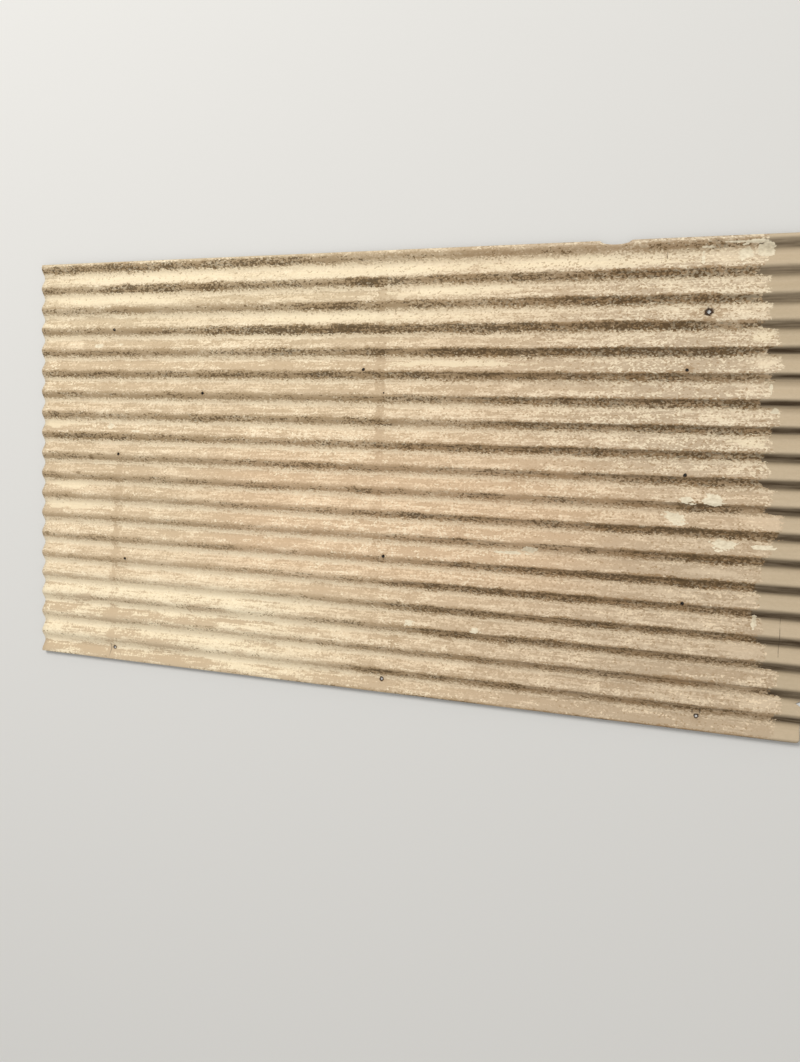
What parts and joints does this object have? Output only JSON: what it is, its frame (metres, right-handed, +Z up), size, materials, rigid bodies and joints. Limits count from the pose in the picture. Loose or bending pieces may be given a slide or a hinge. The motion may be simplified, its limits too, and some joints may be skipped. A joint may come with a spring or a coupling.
{
  "type": "corrugated metal sheet",
  "caption": "Long thin steel sheet rolled into even round waves, weathered, with nail holes from its use as roofing or cladding.",
  "frame": {"origin": "on the floor, under the middle of the sheet's outline", "axes": "+X along the waves towards the end with the tear, +Y across them towards the edge that the picture shows at the top, +Z up, out of the face that the picture shows"},
  "size_m": [2.7, 1.463, 0.019],
  "materials": {
    "galvanised_steel": "dull weathered zinc with pale white rust and grey-brown dirt along one side of each crest"
  },
  "bodies": {
    "root": {"corrugated_sheet": "galvanised_steel"}
  },
  "joints": []
}
